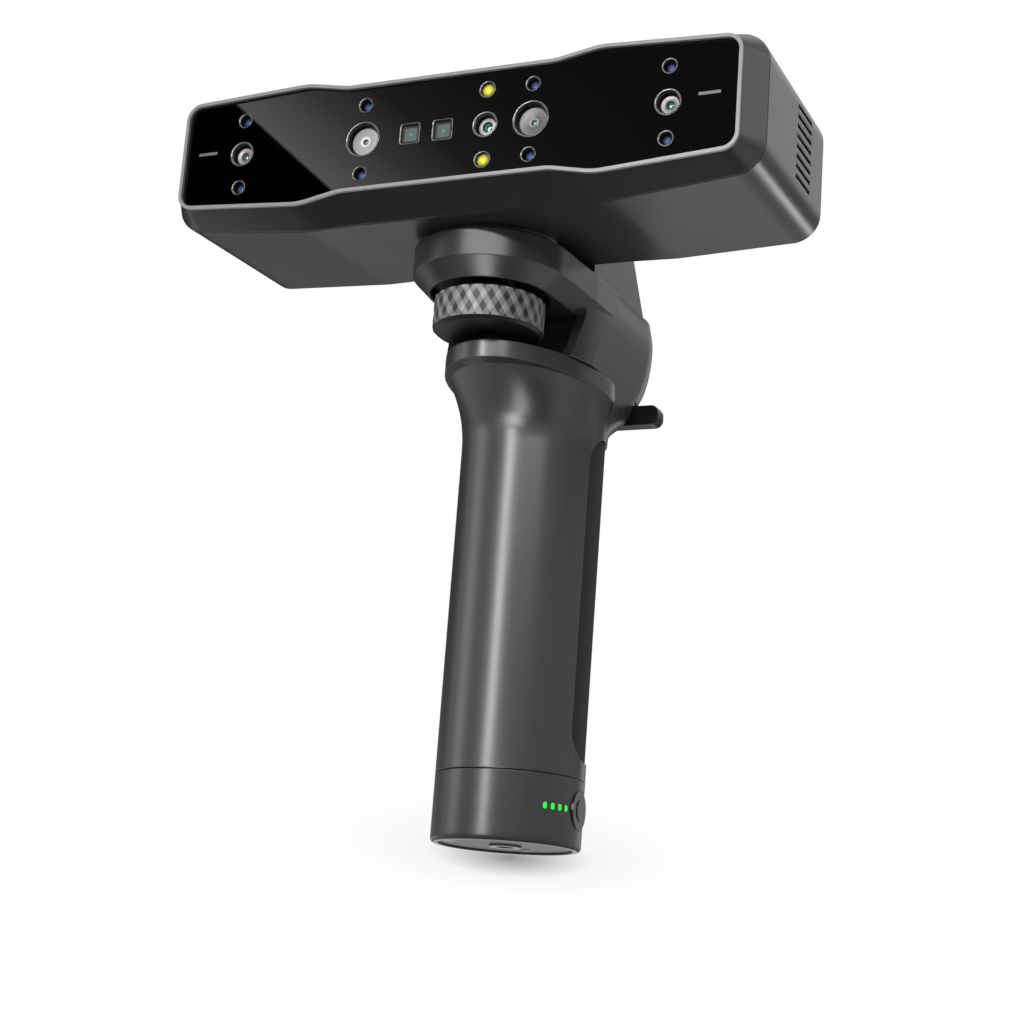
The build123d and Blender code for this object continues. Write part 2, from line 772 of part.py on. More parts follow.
def make_casing():
    parts["rim_trim"] = (head_prism(rim_shape, 0, front_y, front_y + trim_depth)
                         - head_prism(rim_shape, trim_width, front_y, front_y + trim_depth))
    band_front = front_y + trim_depth
    band = loft([head_face(rim_shape, 0, band_front), head_face(band_shape, 0, seam_y)], ruled=True)
    band -= head_prism(rim_shape, trim_width, band_front, glass_back_y)
    band -= head_prism(rim_shape, opening_inset, glass_back_y, seam_y)
    for x, z, radius in light_seats():
        band -= rod_y(radius + free_gap, glass_back_y, seam_y, x, z)
    parts["front_band"] = band

    shell_front = seam_y + seam_gap
    shell = loft([head_face(band_shape, 0, shell_front), head_face(back_shape, 0, back_y - back_round),
                  head_face(back_shape, back_round, back_y)], ruled=True)
    inner = loft([head_face(band_shape, head_wall, shell_front),
                  head_face(back_shape, head_wall, back_y - head_wall)], ruled=True)
    fill = rod(foot_radius, seat_z, seat_z + foot_height, 0, wheel_y)
    for x, z in head_screw_places():
        fill += rod_y(head_post_radius, bench_back_y, back_y - head_wall, x, z)
    foot = rod(foot_radius, seat_z, head_z, 0, wheel_y) - loft_space()
    shell = (shell - inner) + fill + foot
    shell -= rod(bush_radius + seat_gap, seat_z, seat_z + bush_length, 0, wheel_y)
    shell -= block(*contact_span(free_gap), (seat_z, contact_plate_bottom() + board_thickness))
    for x, z in head_screw_places():
        shell -= rod_y(head_screw_radius + seat_gap, bench_back_y, back_y, x, z)
        shell -= rod_y(head_screw_head_radius + seat_gap, back_y - head_screw_head, back_y, x, z)
    for index in range(vent_count):
        z = head_z + vent_z + vent_pitch * (index - (vent_count - 1) / 2)
        shell -= block((-2 * band_shape["half_width"], 2 * band_shape["half_width"]),
                       (vent_y - vent_length / 2, vent_y + vent_length / 2),
                       (z - vent_width / 2, z + vent_width / 2))
    parts["rear_housing"] = shell

    screws = []
    for x, z in head_screw_places():
        neck_y = back_y - head_screw_head
        screws.append(rod_y(head_screw_head_radius, neck_y, back_y, x, z)
                      + rod_y(head_screw_radius, board_back_y, neck_y, x, z))
    parts["housing_screws"] = group(screws)
    bush = rod(bush_radius, seat_z, seat_z + bush_length, 0, wheel_y)
    parts["mount_bush"] = bush - rod(stud_radius + running_gap, seat_z, seat_z + bush_length, 0, wheel_y)
    parts["contact_plate"] = block(*contact_span(free_gap - seat_gap),
                                   (contact_plate_bottom(), contact_plate_bottom() + board_thickness))


def contact_plate_bottom():
    return plate_top_z + contact_rise + contact_pin_rise


def loft_space():
    return loft([head_face(band_shape, 0, seam_y + seam_gap), head_face(back_shape, 0, back_y)], ruled=True)


def head_screw_places():
    for x in (-head_screw_x, head_screw_x):
        for z in (-head_screw_z, head_screw_z):
            yield x, head_z + z


# Head: glass, cameras, lights and windows

camera_sites = {
    "outer_left": (optic_x - outer_camera_x, small_ring_radius),
    "inner_left": (optic_x - inner_camera_x, large_ring_radius),
    "texture": (optic_x + texture_camera_x, small_ring_radius),
    "inner_right": (optic_x + inner_camera_x, large_ring_radius),
    "outer_right": (optic_x + outer_camera_x, small_ring_radius),
}


def barrel_radius(ring_radius):
    return ring_radius - ring_wall - barrel_gap


blue_sites = [optic_x + x for x in (-outer_camera_x, -inner_camera_x, inner_camera_x, outer_camera_x)]
flash_sites = [optic_x + texture_camera_x]
window_sites = [optic_x + x for x in (window_left_x, window_right_x)]


def light_places(xs):
    for x in xs:
        for z in (-light_offset, light_offset):
            yield x, lens_z + z


def light_seats():
    for sites, radius in ((blue_sites, blue_ring_radius), (flash_sites, flash_ring_radius)):
        for x, z in light_places(sites):
            yield x, z, radius


def window_block(x, half_size, front, back):
    return block((x - half_size, x + half_size), (front, back), (lens_z - half_size, lens_z + half_size))


def strip_block(side, gap, front, back):
    near = optic_x + side * (strip_inner_x - gap)
    far = optic_x + side * (strip_inner_x + strip_length + gap)
    return block((min(near, far), max(near, far)), (front, back),
                 (head_z + strip_z - strip_height / 2 - gap, head_z + strip_z + strip_height / 2 + gap))


def make_front():
    glass = head_prism(rim_shape, trim_width + seat_gap, glass_front_y, glass_back_y)
    board = head_prism(rim_shape, opening_inset + board_edge_gap, board_front_y, board_back_y)
    bench = head_prism(rim_shape, opening_inset + bench_gap, board_back_y, bench_back_y)
    for x, ring_radius in camera_sites.values():
        glass -= rod_y(ring_radius + seat_gap, glass_front_y, glass_back_y, x, lens_z)
        board -= rod_y(barrel_radius(ring_radius) + seat_gap, board_front_y, board_back_y, x, lens_z)
        bench -= rod_y(barrel_radius(ring_radius) + seat_gap, board_back_y, bench_back_y, x, lens_z)
    for x, z, radius in light_seats():
        glass -= rod_y(radius + seat_gap, glass_front_y, glass_back_y, x, z)
    for x, z in head_screw_places():
        bench -= rod_y(head_screw_radius + seat_gap, board_back_y, bench_back_y, x, z)
    half = window_size / 2
    for x in window_sites:
        glass -= window_block(x, half + seat_gap, glass_front_y, glass_back_y)
        board -= window_block(x, half - window_frame, board_front_y, board_back_y)
        bench -= window_block(x, half - window_frame, board_back_y, bench_back_y)
    for side in (-1, 1):
        glass -= strip_block(side, seat_gap, glass_front_y, glass_back_y)
    parts["front_glass"] = glass
    parts["light_board"] = board
    parts["optical_bench"] = bench
    parts["indicator_strips"] = group(strip_block(side, 0, glass_front_y, board_front_y) for side in (-1, 1))


def flared_ring(radius, wall, flare, x, z):
    front = glass_front_y - ring_proud
    bore = radius - wall
    mouth = Pos(x, front + ring_flare_depth / 2, z) * Rot(90, 0, 0) * Cone(bore, bore + flare, ring_flare_depth)
    return rod_y(radius, front, board_front_y, x, z) - rod_y(bore, front, board_front_y, x, z) - mouth


def make_cameras():
    rings = []
    modules = []
    barrel_front = glass_front_y + barrel_setback
    for name, (x, ring_radius) in camera_sites.items():
        rings.append(flared_ring(ring_radius, ring_wall, ring_flare, x, lens_z))
        radius = barrel_radius(ring_radius)
        pupil = radius * pupil_share
        barrel = rod_y(radius, barrel_front, bench_back_y, x, lens_z)
        dish = Cone(pupil, radius - dish_rim, dish_depth)
        barrel -= Pos(x, barrel_front + dish_depth / 2, lens_z) * Rot(90, 0, 0) * dish
        barrel -= rod_y(pupil, barrel_front, bench_back_y, x, lens_z)
        parts["camera_barrel_" + name] = barrel
        lens = rod_y(pupil - seat_gap, barrel_front + dish_depth / 2, board_back_y, x, lens_z)
        parts["camera_lens_" + name] = fillet(lens.edges().group_by(Axis.Y)[0], pupil * lens_round)
        large = ring_radius == large_ring_radius
        half = (module_large if large else module_small) / 2
        gap = module_gap_large if large else module_gap_small
        modules.append(block((x - half, x + half), (bench_back_y, main_board_y - gap),
                             (lens_z - half, lens_z + half)))
    parts["camera_rings"] = group(rings)
    parts["camera_modules"] = group(modules)


def light_ring(radius, x, z):
    return flared_ring(radius, light_ring_wall, light_ring_flare, x, z)


def light_dome(radius, front, x, z):
    dome = rod_y(radius - light_ring_wall - seat_gap, front, board_front_y, x, z)
    return fillet(dome.edges().group_by(Axis.Y)[0], radius * dome_round)


def make_lights():
    parts["blue_light_rings"] = group(light_ring(blue_ring_radius, x, z) for x, z in light_places(blue_sites))
    parts["blue_light_lenses"] = group(light_dome(blue_ring_radius, glass_front_y + blue_setback, x, z)
                                       for x, z in light_places(blue_sites))
    parts["flash_rings"] = group(light_ring(flash_ring_radius, x, z) for x, z in light_places(flash_sites))
    parts["flash_lenses"] = group(light_dome(flash_ring_radius, glass_front_y + flash_setback, x, z)
                                  for x, z in light_places(flash_sites))
    half = window_size / 2
    frame_front = glass_front_y - ring_proud
    pane_front = glass_front_y + window_setback
    parts["window_frames"] = group(window_block(x, half, frame_front, board_front_y)
                                   - window_block(x, half - window_frame, frame_front, board_front_y)
                                   for x in window_sites)
    parts["laser_windows"] = group(window_block(x, half - window_frame - seat_gap, pane_front,
                                                pane_front + window_thickness) for x in window_sites)
    middle = sum(window_sites) / len(window_sites)
    parts["laser_module"] = block((middle - laser_module_width / 2, middle + laser_module_width / 2),
                                  (bench_back_y, main_board_y - laser_module_gap),
                                  (lens_z - laser_module_height / 2, lens_z + laser_module_height / 2))


# Head: boards, heat sink and fan

def make_electronics():
    board_back = main_board_y + board_thickness
    half_width = fan_place()[0] - fan_depth - board_fan_gap
    parts["main_board"] = block((-half_width, half_width), (main_board_y, board_back),
                                (head_z - main_board_half_height, head_z + main_board_half_height))
    parts["board_standoffs"] = group(rod_y(standoff_radius, bench_back_y, main_board_y, x, head_z + z)
                                     for x in (-standoff_x, standoff_x) for z in (-standoff_z, standoff_z))
    fin_root = board_back + sink_base
    sink = block((-sink_half_width, sink_half_width), (board_back, fin_root),
                 (head_z - sink_half_height, head_z + sink_half_height))
    pitch = (2 * sink_half_width - sink_fin_thickness) / (sink_fin_count - 1)
    for index in range(sink_fin_count):
        x = index * pitch - sink_half_width
        sink += block((x, x + sink_fin_thickness), (fin_root, fin_root + sink_fin_height),
                      (head_z - sink_half_height, head_z + sink_half_height))
    parts["heat_sink"] = sink


def fan_place():
    # The fan stands against the tapered end wall, level with the vents.
    reaches = []
    for y in (vent_y - fan_half_size, vent_y + fan_half_size):
        share = (y - seam_y) / (back_y - back_round - seam_y)
        reaches.append(band_shape["half_width"] + (back_shape["half_width"] - band_shape["half_width"]) * share)
    return min(reaches) - head_wall - fan_wall_gap, vent_y, head_z + vent_z


def make_fan():
    outer, y, z = fan_place()
    inner = outer - fan_depth
    frame = block((inner, outer), (y - fan_half_size, y + fan_half_size), (z - fan_half_size, z + fan_half_size))
    frame -= rod_x(fan_bore_radius, inner, outer, y, z)
    spokes = block((inner, inner + fan_spoke_depth), (y - fan_half_size, y + fan_half_size),
                   (z - fan_spoke_width / 2, z + fan_spoke_width / 2))
    spokes += block((inner, inner + fan_spoke_depth), (y - fan_spoke_width / 2, y + fan_spoke_width / 2),
                    (z - fan_half_size, z + fan_half_size))
    frame += spokes + rod_x(fan_shaft_radius, inner, outer - free_gap, y, z)
    parts["fan_frame"] = frame

    blade_left = inner + fan_spoke_depth + free_gap
    blade_right = outer - free_gap
    rotor = rod_x(fan_hub_radius, blade_left, blade_right, y, z)
    reach = fan_bore_radius - fan_tip_gap
    sweep = rod_x(reach, blade_left, blade_right, y, z)
    blades = Part()
    for index in range(fan_blade_count):
        blade = block((-fan_depth, fan_depth), (-fan_blade_thickness / 2, fan_blade_thickness / 2), (0, 2 * reach))
        spin = Rot(360 / fan_blade_count * index, 0, 0) * Rot(0, 0, fan_blade_pitch)
        blades += Pos((blade_left + blade_right) / 2, y, z) * spin * blade
    rotor += blades & sweep
    parts["fan_rotor"] = rotor - rod_x(fan_shaft_radius + running_gap, blade_left, blade_right, y, z)


make_grip()
make_battery()
make_end_cap()
make_power_controls()
make_clamp()
make_bracket()
make_rear_post()
make_lever()
make_casing()
make_front()
make_cameras()
make_lights()
make_electronics()
make_fan()

os.makedirs("parts", exist_ok=True)
for node, shape in parts.items():
    export_step(shape, "parts/" + node + ".step")
print(len(parts), "nodes written")
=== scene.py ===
import json
import math
import bmesh
import bpy
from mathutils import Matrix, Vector


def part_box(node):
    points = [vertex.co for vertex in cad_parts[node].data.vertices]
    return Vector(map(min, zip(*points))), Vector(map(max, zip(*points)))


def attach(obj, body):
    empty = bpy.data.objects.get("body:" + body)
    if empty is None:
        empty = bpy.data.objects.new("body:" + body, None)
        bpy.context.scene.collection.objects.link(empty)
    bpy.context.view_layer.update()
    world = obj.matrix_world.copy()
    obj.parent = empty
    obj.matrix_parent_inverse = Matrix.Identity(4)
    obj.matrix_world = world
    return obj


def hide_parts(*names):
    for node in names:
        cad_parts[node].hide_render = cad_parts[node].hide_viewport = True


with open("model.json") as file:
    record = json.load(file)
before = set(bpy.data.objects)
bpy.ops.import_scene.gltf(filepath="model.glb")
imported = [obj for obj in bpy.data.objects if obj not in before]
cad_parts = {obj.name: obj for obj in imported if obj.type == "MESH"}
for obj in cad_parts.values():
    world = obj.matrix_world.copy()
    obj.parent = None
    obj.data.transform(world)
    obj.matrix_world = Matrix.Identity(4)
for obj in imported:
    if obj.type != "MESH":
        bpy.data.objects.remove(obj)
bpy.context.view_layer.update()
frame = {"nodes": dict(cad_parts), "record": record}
cadNodes = frame["nodes"]
print("frame loaded:", len(cadNodes), "nodes")


# Helpers for meshes

def meshPiece(name, points, faces, smooth=True):
    mesh = bpy.data.meshes.new(name)
    mesh.from_pydata(points, [], faces)
    mesh.polygons.foreach_set("use_smooth", [smooth] * len(faces))
    mesh.update()
    piece = bpy.data.objects.new(name, mesh)
    bpy.context.scene.collection.objects.link(piece)
    return piece


def setPointValues(piece, name, values):
    piece.data.attributes.new(name, "FLOAT", "POINT").data.foreach_set("value", values)


def turnOut(piece):
    work = bmesh.new()
    work.from_mesh(piece.data)
    bmesh.ops.recalc_face_normals(work, faces=work.faces)
    work.to_mesh(piece.data)
    work.free()


def crispEdges(piece, degrees):
    piece.data.set_sharp_from_angle(angle=math.radians(degrees))


def roundOutline(angle):
    return math.cos(angle), math.sin(angle)


squareCorner = 0.2  # 1 would be a circle, and near 0 the corners are sharp


def squareOutline(angle):
    across, up = roundOutline(angle)
    return math.copysign(abs(across) ** squareCorner, across), math.copysign(abs(up) ** squareCorner, up)


def turnedSet(name, turnings, turns, outline=roundOutline):
    # each profile, as (radius, depth behind its centre), is swept round its centre, facing -Y
    points, faces, reaches = [], [], []
    for centre, profile in turnings:
        rings = []
        widest = max(radius for radius, depth in profile)
        for radius, depth in profile:
            count = turns if radius else 1
            rings.append(list(range(len(points), len(points) + count)))
            for step in range(count):
                across, up = outline(2 * math.pi * step / turns)
                points.append((centre[0] + radius * across, centre[1] + depth, centre[2] + radius * up))
                reaches.append(radius / widest)
        joints = list(zip(rings, rings[1:]))
        if profile[0][0]:
            joints.append((rings[-1], rings[0]))
        for one, two in joints:
            for step in range(turns):
                sides = ((one, step), (one, step + 1), (two, step + 1), (two, step))
                corners = [ring[place % len(ring)] for ring, place in sides]
                faces.append(list(dict.fromkeys(corners)))
    piece = meshPiece(name, points, [face for face in faces if len(face) > 2])
    setPointValues(piece, "reach", reaches)
    turnOut(piece)
    return piece


# Helpers for shader nodes

def addNode(tree, kind, links=(), **settings):
    node = tree.nodes.new(kind)
    for key, value in settings.items():
        setattr(node, key, value)
    for socket, source in links:
        if hasattr(source, "is_output"):
            tree.links.new(source, node.inputs[socket])
        else:
            node.inputs[socket].default_value = source
    return node


def objectPlace(tree):
    return addNode(tree, "ShaderNodeTexCoord").outputs["Object"]


def mathNode(tree, operation, *values):
    return addNode(tree, "ShaderNodeMath", enumerate(values), operation=operation).outputs[0]


def scaledColour(tree, colour, share):
    node = addNode(tree, "ShaderNodeVectorMath", [(0, colour), ("Scale", share)], operation="SCALE")
    return node.outputs["Vector"]


def mapRange(tree, value, low, high, fromLow=0.0, fromHigh=1.0):
    node = addNode(tree, "ShaderNodeMapRange", [
        ("Value", value), ("From Min", fromLow), ("From Max", fromHigh), ("To Min", low), ("To Max", high)])
    return node.outputs["Result"]


def noiseNode(tree, where, scale, detail=2.0):
    node = addNode(tree, "ShaderNodeTexNoise", [("Vector", where), ("Scale", scale), ("Detail", detail)])
    return node.outputs["Fac"]


def pointValue(tree, name):
    return addNode(tree, "ShaderNodeAttribute", attribute_name=name).outputs["Fac"]


def colourRamp(tree, value, stops):
    node = addNode(tree, "ShaderNodeValToRGB", [("Fac", value)])
    ramp = node.color_ramp
    for place, colour in stops[2:]:  # a new ramp has two stops already
        ramp.elements.new(place)
    for stop, (place, colour) in zip(ramp.elements, stops):
        stop.position = place
        stop.color = (*colour, 1)
    return node.outputs["Color"]


def greyStops(levels):
    return [(place, (level, level, level)) for place, level in levels]


def newFinish(name):
    finish = bpy.data.materials.new(name)
    finish.use_nodes = True
    return finish, finish.node_tree, finish.node_tree.nodes["Principled BSDF"]


def setSockets(surface, values):
    for label, value in values.items():
        surface.inputs[label].default_value = value


edgeSamples = 6


def setBump(tree, surface, height, strength, depth, edge=0):
    bump = addNode(tree, "ShaderNodeBump", [("Height", height), ("Strength", strength), ("Distance", depth)])
    if edge:
        # cast and moulded edges catch the light as if slightly rounded
        soft = addNode(tree, "ShaderNodeBevel", [("Radius", edge)], samples=edgeSamples)
        tree.links.new(soft.outputs["Normal"], bump.inputs["Normal"])
    tree.links.new(bump.outputs["Normal"], surface.inputs["Normal"])


# Satin finishes, which share one grain

grainLook = dict(slowScale=38.0, slowDetail=3.0, slowRange=(0.15, 0.85))


def makeSatinGrain():
    # fine moulded or blasted grain with slow drifts of tone and gloss
    tree = bpy.data.node_groups.new("satinGrain", "ShaderNodeTree")
    sockets = [("INPUT", "Colour", "Color"), ("INPUT", "Tone", "Float"), ("INPUT", "Grain Size", "Float"),
               ("INPUT", "Roughness", "Float"), ("INPUT", "Gloss Drift", "Float"),
               ("OUTPUT", "Colour", "Color"), ("OUTPUT", "Roughness", "Float"), ("OUTPUT", "Height", "Float")]
    for side, label, kind in sockets:
        tree.interface.new_socket(name=label, in_out=side, socket_type="NodeSocket" + kind)
    given = tree.nodes.new("NodeGroupInput").outputs
    where = objectPlace(tree)
    fine = noiseNode(tree, where, given["Grain Size"])
    slow = noiseNode(tree, where, grainLook["slowScale"], grainLook["slowDetail"])
    drift = mapRange(tree, slow, -1.0, 1.0, *grainLook["slowRange"])
    gloss = mathNode(tree, "MULTIPLY_ADD", drift, given["Gloss Drift"], given["Roughness"])
    shade = mathNode(tree, "SUBTRACT", mathNode(tree, "ADD", fine, slow), 1.0)
    lift = mathNode(tree, "MULTIPLY_ADD", shade, given["Tone"], 1.0)
    tint = scaledColour(tree, given["Colour"], lift)
    addNode(tree, "NodeGroupOutput", [("Colour", tint), ("Roughness", gloss), ("Height", fine)])
    return tree


satinGrain = makeSatinGrain()
plainSatin = dict(tone=0.15, grainSize=5000, glossDrift=0.03, metallic=0, shine=0.5, bump=0, depth=0.0001,
                  edge=0)


def satinFinish(name, ownLook):
    look = plainSatin | ownLook
    finish, tree, surface = newFinish(name)
    grain = addNode(tree, "ShaderNodeGroup", node_tree=satinGrain)
    setSockets(grain, {"Colour": (*look["colour"], 1), "Tone": look["tone"], "Grain Size": look["grainSize"],
                       "Roughness": look["roughness"], "Gloss Drift": look["glossDrift"]})
    tree.links.new(grain.outputs["Colour"], surface.inputs["Base Color"])
    tree.links.new(grain.outputs["Roughness"], surface.inputs["Roughness"])
    setSockets(surface, {"Metallic": look["metallic"], "Specular IOR Level": look["shine"]})
    if look["bump"]:
        setBump(tree, surface, grain.outputs["Height"], look["bump"], look["depth"], look["edge"])
    return finish


finishLooks = {
    "grip_metal": dict(colour=(0.031, 0.031, 0.0315), metallic=0.5, roughness=0.29, bump=0.05, edge=0.0005),
    "base_metal": dict(colour=(0.015, 0.015, 0.0153), metallic=0.3, roughness=0.4, shine=0.2, bump=0.05),
    "seat_rubber": dict(colour=(0.02, 0.02, 0.02), roughness=0.7, bump=0.3),
    "steel": dict(colour=(0.1, 0.1, 0.102), metallic=1, roughness=0.32, tone=0.25),
    "cell_sleeve": dict(colour=(0.05, 0.16, 0.36), roughness=0.4),
    "inner_plastic": dict(colour=(0.02, 0.02, 0.021), roughness=0.5, bump=0.15),
    "board": dict(colour=(0.006, 0.014, 0.01), roughness=0.5, tone=0.5, grainSize=700),
    "button_black": dict(colour=(0.009, 0.009, 0.0095), roughness=0.24, shine=0.18),
    "post_plastic": dict(colour=(0.02, 0.02, 0.0204), metallic=0.3, roughness=0.34, bump=0.06, edge=0.0006),
    "head_plastic": dict(colour=(0.029, 0.029, 0.0295), metallic=0.5, roughness=0.3, bump=0.06, edge=0.0006),
    "trim_bright": dict(colour=(0.19, 0.19, 0.192), metallic=0.4, roughness=0.34, tone=0.12),
    "bench_metal": dict(colour=(0.4, 0.4, 0.41), metallic=1, roughness=0.35, tone=0.2),
    "ring_black": dict(colour=(0.085, 0.085, 0.086), metallic=0.9, roughness=0.24),
    "strip_grey": dict(colour=(0.045, 0.046, 0.048), roughness=0.4, tone=0.2),
}
finishes = {slot: satinFinish(slot, look) for slot, look in finishLooks.items()}


# Finishes of one kind each: pad, wheel, front glass

# the hollow colour is painted shade, darker than the crests
padLook = dict(shadedHollow=(0.0063, 0.0063, 0.0063), crest=(0.0135, 0.0135, 0.0135), waveScale=620.0, warp=5.0,
               detail=2.0, detailScale=0.4, bump=0.5, depth=0.0002, roughness=0.75, shine=0.25)


def makePadRubber():
    # moulded waves, with painted shade in their hollows
    finish, tree, surface = newFinish("pad_rubber")
    wave = addNode(tree, "ShaderNodeTexWave", [
        ("Vector", objectPlace(tree)), ("Scale", padLook["waveScale"]), ("Distortion", padLook["warp"]),
        ("Detail", padLook["detail"]), ("Detail Scale", padLook["detailScale"])], bands_direction="DIAGONAL")
    height = wave.outputs["Fac"]
    tone = colourRamp(tree, height, [(0.0, padLook["shadedHollow"]), (1.0, padLook["crest"])])
    tree.links.new(tone, surface.inputs["Base Color"])
    setSockets(surface, {"Roughness": padLook["roughness"], "Specular IOR Level": padLook["shine"]})
    setBump(tree, surface, height, padLook["bump"], padLook["depth"])
    return finish


# the stops paint shade and light: darkest between the bands and on the plain faces, lightest where two bands
# cross
wheelMetalAndShadeLook = dict(stops=[(0.0, (0.009, 0.009, 0.0092)), (0.4, (0.07, 0.07, 0.071)),
                             (0.6, (0.1, 0.1, 0.101)), (1.0, (0.15, 0.15, 0.152))],
                      marks=1800.0, roughness=(0.38, 0.52), metallic=0.35)


def makeWheelMetalAndShade():
    # painted shade between the bands and on the wheel's plain faces, painted light where two bands cross,
    # with fine turning marks
    finish, tree, surface = newFinish("wheel_metal")
    tone = colourRamp(tree, pointValue(tree, "landAndShade"), wheelMetalAndShadeLook["stops"])
    marks = noiseNode(tree, objectPlace(tree), wheelMetalAndShadeLook["marks"])
    tree.links.new(tone, surface.inputs["Base Color"])
    tree.links.new(mapRange(tree, marks, *wheelMetalAndShadeLook["roughness"]), surface.inputs["Roughness"])
    setSockets(surface, {"Metallic": wheelMetalAndShadeLook["metallic"]})
    return finish


glassLook = dict(ink=(0.0006, 0.0006, 0.0007), inkRange=(0.9, 1.1), smear=60.0, roughness=(0.004, 0.012))


def makeFrontGlass():
    # black ink behind polished glass, with a trace of haze
    finish, tree, surface = newFinish("glass_black")
    smear = noiseNode(tree, objectPlace(tree), glassLook["smear"])
    ink = scaledColour(tree, glassLook["ink"], mapRange(tree, smear, *glassLook["inkRange"]))
    tree.links.new(ink, surface.inputs["Base Color"])
    tree.links.new(mapRange(tree, smear, *glassLook["roughness"]), surface.inputs["Roughness"])
    return finish


finishes["pad_rubber"] = makePadRubber()
finishes["wheel_metal"] = makeWheelMetalAndShade()
finishes["glass_black"] = makeFrontGlass()


# Finishes in rings, for lenses, lights and camera faces

plainRinged = dict(glow=0, metallic=0, shine=0.5, coat=0, coatRoughness=0.04)


def ringedFinish(name, ownLook):
    # colours set by the share of the piece's own radius, with a little unevenness, some of them glowing; on
    # the camera lenses, laser panes and flash lenses the glow is painted light, as none of them is a lamp
    look = plainRinged | ownLook
    finish, tree, surface = newFinish(name)
    speck = noiseNode(tree, objectPlace(tree), look["speck"])
    reach = mathNode(tree, "MULTIPLY_ADD", speck, look["uneven"], pointValue(tree, "reach"))
    tone = colourRamp(tree, reach, look["stops"])
    tree.links.new(tone, surface.inputs["Base Color"])
    tree.links.new(tone, surface.inputs["Emission Color"])
    setSockets(surface, {"Emission Strength": look["glow"], "Roughness": look["roughness"],
                         "Metallic": look["metallic"], "Specular IOR Level": look["shine"],
                         "Coat Weight": look["coat"], "Coat Roughness": look["coatRoughness"]})
    return finish


ringedLooks = {
    "blue_lens": dict(stops=[(0.0, (0.002, 0.004, 0.012)), (0.13, (0.003, 0.008, 0.03)),
                             (0.24, (0.004, 0.035, 0.15)), (0.42, (0.003, 0.015, 0.06)),
                             (0.7, (0.004, 0.005, 0.009))],
                      uneven=0.06, speck=600, glow=0.7, roughness=0.4, shine=0.25),
    # the flash lens's glow is painted light
    "flash_lens": dict(stops=[(0.1, (0.5, 0.44, 0.003)), (0.6, (0.34, 0.31, 0.004)),
                              (0.95, (0.15, 0.14, 0.01))],
                       uneven=0.25, speck=500, glow=0.12, roughness=0.34, shine=0.3),
    # the laser pane's glow is painted light
    "window_glass": dict(stops=[(0.0, (0.03, 0.22, 0.15)), (0.11, (0.03, 0.16, 0.11)),
                                (0.17, (0.045, 0.06, 0.058)), (0.72, (0.042, 0.054, 0.053)),
                                (0.8, (0.012, 0.013, 0.013))],
                         uneven=0.03, speck=300, glow=0.45, roughness=0.2, shine=0.3),
    # the green ring in the camera lens is a painted reflection, and its glow is painted light
    "lens_glass": dict(stops=[(0.0, (0.002, 0.006, 0.005)), (0.3, (0.004, 0.03, 0.024)),
                              (0.55, (0.014, 0.1, 0.08)), (0.75, (0.006, 0.045, 0.036)),
                              (0.95, (0.002, 0.004, 0.004))],
                       uneven=0.22, speck=1300, glow=0.5, roughness=0.08, coat=0.4),
    "barrel_silver": dict(stops=[(0.0, (0.01, 0.01, 0.01)), (0.14, (0.02, 0.02, 0.02)),
                                 (0.2, (0.36, 0.36, 0.355)), (0.34, (0.34, 0.34, 0.335)),
                                 (0.42, (0.16, 0.158, 0.157)), (1.0, (0.18, 0.177, 0.176))],
                          uneven=0.03, speck=700, roughness=0.42, metallic=0.45),
}
# two cameras have tones of their own: one is a pale ring, and the other a deep cone, darker outside its
# bright lip as painted shade
faceStops = {
    "shadedDeepFace": [(0.0, (0.01, 0.01, 0.01)), (0.16, (0.02, 0.02, 0.02)), (0.2, (0.36, 0.36, 0.355)),
                 (0.3, (0.3, 0.3, 0.297)), (0.36, (0.07, 0.07, 0.07)), (1.0, (0.085, 0.084, 0.083))],
    "paleFace": [(0.0, (0.01, 0.01, 0.01)), (0.3, (0.02, 0.02, 0.02)), (0.46, (0.3, 0.3, 0.297)),
                 (0.85, (0.34, 0.34, 0.335)), (1.0, (0.14, 0.14, 0.138))],
}
for slot, look in ringedLooks.items():
    finishes[slot] = ringedFinish(slot, look)
for name, stops in faceStops.items():
    finishes[name] = ringedFinish(name, dict(ringedLooks["barrel_silver"], stops=stops))


chargeLook = dict(count=4, glow=0.85, roughness=0.3, speck=900.0, uneven=0.04,
                  stops=[(0.0, (0.01, 0.75, 0.03)), (0.2, (0.0, 0.5, 0.01)), (0.29, (0.012, 0.02, 0.012))])


def makeChargeGreen():
    # each round lens is lit in its middle, found from its own azimuth on the cap
    corners = [point.co for point in cadNodes["charge_lights"].data.vertices]
    azimuths = [math.atan2(corner.y, corner.x) for corner in corners]
    low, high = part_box("charge_lights")
    capRadius = max(math.hypot(corner.x, corner.y) for corner in corners)
    lensTurn = (high[2] - low[2]) / 2 / capRadius
    first = min(azimuths) + lensTurn
    pitch = (max(azimuths) - lensTurn - first) / (chargeLook["count"] - 1)
    finish, tree, surface = newFinish("charge_green")
    where = objectPlace(tree)
    spot = addNode(tree, "ShaderNodeSeparateXYZ", [(0, where)])
    azimuth = mathNode(tree, "ARCTAN2", spot.outputs["Y"], spot.outputs["X"])
    lensCount = mathNode(tree, "MULTIPLY_ADD", azimuth, 1 / pitch, -first / pitch)
    offset = mathNode(tree, "PINGPONG", lensCount, 0.5)
    speck = noiseNode(tree, where, chargeLook["speck"])
    reach = mathNode(tree, "MULTIPLY_ADD", speck, chargeLook["uneven"], offset)
    tone = colourRamp(tree, reach, chargeLook["stops"])
    tree.links.new(tone, surface.inputs["Base Color"])
    tree.links.new(tone, surface.inputs["Emission Color"])
    setSockets(surface, {"Emission Strength": chargeLook["glow"], "Roughness": chargeLook["roughness"]})
    return finish


finishes["charge_green"] = makeChargeGreen()

